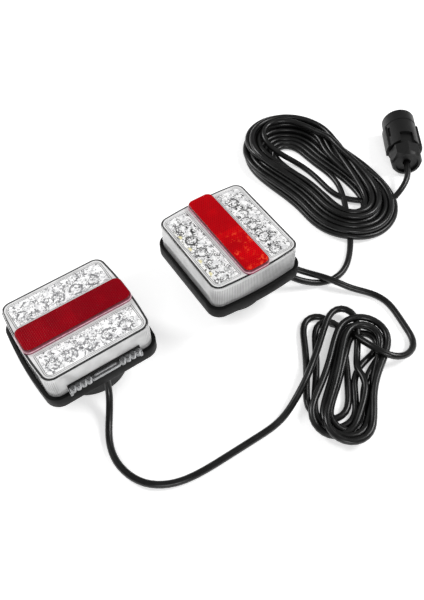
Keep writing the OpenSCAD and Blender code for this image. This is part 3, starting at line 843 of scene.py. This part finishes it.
def plate_window_piece(clear, dark):
    """Window for the number plate light: a dark slot behind a clear bar and two rows of upright ribs."""
    front = -LENS_HY
    verts, faces, marks = [], [], []

    def part(mark, outline, z0, z1, edge):
        marks.extend([mark] * block(verts, faces, outline, z0, z1, edge))

    slot = rounded(-WINDOW_HX, WINDOW_HX, front - 0.9, front + 2, (0.4,) * 4, 3)
    part(WINDOW_DARK, slot, WINDOW_LO, WINDOW_HI, 0.4)
    bar = rounded(-RIB_X0, RIB_X0, front - 4, front - 0.5, (1,) * 4, 4)
    part(WINDOW_CLEAR, bar, WINDOW_LO, WINDOW_LO + 3.4, 0.7)
    step = rounded(-RIB_X0 + 3, RIB_X0 - 3, front - 2, front - 0.5, (0.5,) * 4, 3)
    part(WINDOW_CLEAR, step, WINDOW_LO + 3, WINDOW_LO + 5, 0.5)
    for s in (-1, 1):
        for k in range(4):
            x = s * (RIB_X0 + 2.7 + RIB_PITCH * k)
            part(WINDOW_CLEAR, circle(x, front - 2.2, 2.5, 20), WINDOW_LO, WINDOW_LO + 6.4, 1.1)
        foot = s * (WINDOW_HX - 0.8)
        post = rounded(foot - 1.2, foot + 1.2, front - 4.4, front - 0.5, (0.6,) * 4, 3)
        part(WINDOW_CLEAR, post, BASE_TOP - 2, WINDOW_LO + 4, 0.5)
    obj = add_piece("left_window_ribs", verts, faces, "lamps_and_leads", [clear, dark],
                    place_of("left"), marks)
    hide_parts("left_plate_window")


def dress(material, *names):
    """Gives CAD nodes a material."""
    for name in names:
        slots = NODES[name].material_slots
        if not slots:
            NODES[name].data.materials.append(material)
        for place in slots:
            place.material = material


def dress_both(material, *names):
    for side in ("left_", "right_"):
        dress(material, *[side + name for name in names])


# Painted shade: dark grey in the bottoms of the fine grooves round each panel
GROOVE_SHADE = lens_clear("lens_groove_shade", 0.2, 0.8, 0.004)
# Painted shade: a near-black band on the rounded top edge of each lens
EDGE_SHADE = lens_clear("lens_edge_shade", 0.03, 0.95, 0.004)
# Painted light: the pale rim glows a little
RIM = lens_clear("lens_rim_glowing", 0.93, 0.9, 0.006, painted_glow=0.15)
# Painted light: the left panel is a lighter lit copy of the right one, with paler lines and a stronger glow
RIGHT_LENS = [lens_clear("right_lens_wall", 0.72, 0.9, 0.005), RIM,
              panel_clear("right_panel_shaded", 0.0, 0.02, 0.9, 0.2), GROOVE_SHADE, EDGE_SHADE]
LEFT_LENS = [lens_clear("left_lens_wall", 0.72, 0.9, 0.005), RIM,
             panel_clear("left_panel_lit", 0.05, 0.16, 0.92, 0.27), GROOVE_SHADE, EDGE_SHADE]
lens_piece("right", "ends", RIGHT_LENS)
lens_piece("left", "corners", LEFT_LENS)
BAR_SIDES = [
    edge_glass("bar_side", (0.3, 0.02, 0.07), 0.95, 1, 0.3, 0.15),
    # Painted highlight: the pale pink ledge
    edge_glass("bar_ledge_highlight", (0.95, 0.6, 0.68), 0.95, 1, 0.2, 0.5),
    # Painted shade: the dark rounded top edge of the bar
    edge_glass("bar_edge_shade", (0.1, 0.0, 0.004), 0.95, 1, 0.3, 0.1),
]
# Painted light: the two bars are lit and shaded copies of one red; the left one is half as bright and has no
# glints
RIGHT_RED_LIT = reflector_red("right_reflector_red_lit", (0.74, 0.0, 0.004), (0.5, 0.0, 0.004), 0.75)
LEFT_RED_SHADED = reflector_red("left_reflector_red_shaded", (0.37, 0.0, 0.007), (0.27, 0.0, 0.006), 0.0)
bar_piece("right", [RIGHT_RED_LIT] + BAR_SIDES)
bar_piece("left", [LEFT_RED_SHADED] + BAR_SIDES)
base_piece("left", [(0, -40)], BLACK_PLASTIC)
base_piece("right", [(-27, -36), (-12, -40)], BLACK_PLASTIC)
plate_window_piece(edge_glass("window_clear", (0.85, 0.86, 0.88), 0.15, 0.95), BLACK_PLASTIC)

dress_both(CHROME, "led_tray")
dress_both(DOME, "led_chips")
dress_both(AMBER, "amber_chips")
dress_both(BOARD, "circuit_board")
dress_both(BLACK_RUBBER, "lens_gasket", "foot_pad")
dress_both(ZINC, "lens_screws", "foot_bolt", "foot_washer", "foot_nut", "foot_steel_cup")
dress_both(FERRITE, "foot_magnet")
dress_both(FOOT_RUBBER, "foot_shell")
dress(BLACK_RUBBER, "left_cable_grommet", "right_cable_grommets", "plug_cable_seal")
dress(BOARD, "left_plate_board")
dress(DOME, "left_plate_leds")
dress(PLUG_PLASTIC, "plug_shell", "plug_gland_nut", "plug_pin_carrier")
dress(BRASS, "plug_pins")
for cable in (main_cable, link_cable):
    cable.data.materials.append(JACKET)

# ---- Stage ----


def make_floor():
    data = bpy.data.meshes.new("floor")
    reach = 4
    corners = [(-reach, -reach, 0), (reach, -reach, 0), (reach, reach, 0), (-reach, reach, 0)]
    data.from_pydata(corners, [], [(0, 1, 2, 3)])
    floor = bpy.data.objects.new("floor", data)
    bpy.context.scene.collection.objects.link(floor)
    mat, _ = principled("floor", (0.92, 0.92, 0.92), 0.8, Emission_Color=(1, 1, 1, 1), Emission_Strength=0.5)
    data.materials.append(mat)


def add_light(name, place, size, power):
    """A rectangular lamp that shines at the middle of the object."""
    aim = Vector((0.05, 0.0, 0.03))
    data = bpy.data.lights.new(name, "AREA")
    data.shape = "RECTANGLE"
    data.size, data.size_y = size
    data.energy = power
    light = bpy.data.objects.new(name, data)
    light.location = place
    light.rotation_euler = (aim - Vector(place)).to_track_quat("-Z", "Y").to_euler()
    bpy.context.scene.collection.objects.link(light)


def make_world(strength):
    world = bpy.data.worlds.new("world")
    bpy.context.scene.world = world
    world.use_nodes = True
    background = world.node_tree.nodes["Background"]
    background.inputs["Color"].default_value = (1, 1, 1, 1)
    background.inputs["Strength"].default_value = strength


bpy.context.scene.view_settings.view_transform = "Standard"
make_floor()
make_world(0.25)
add_light("soft_back", (0.5, 1.3, 1.5), (0.8, 0.5), 19)
add_light("soft_left", (-1.4, -0.8, 1.2), (0.5, 0.8), 17)
add_light("soft_front", (1.5, -0.8, 1.0), (0.8, 0.4), 10)
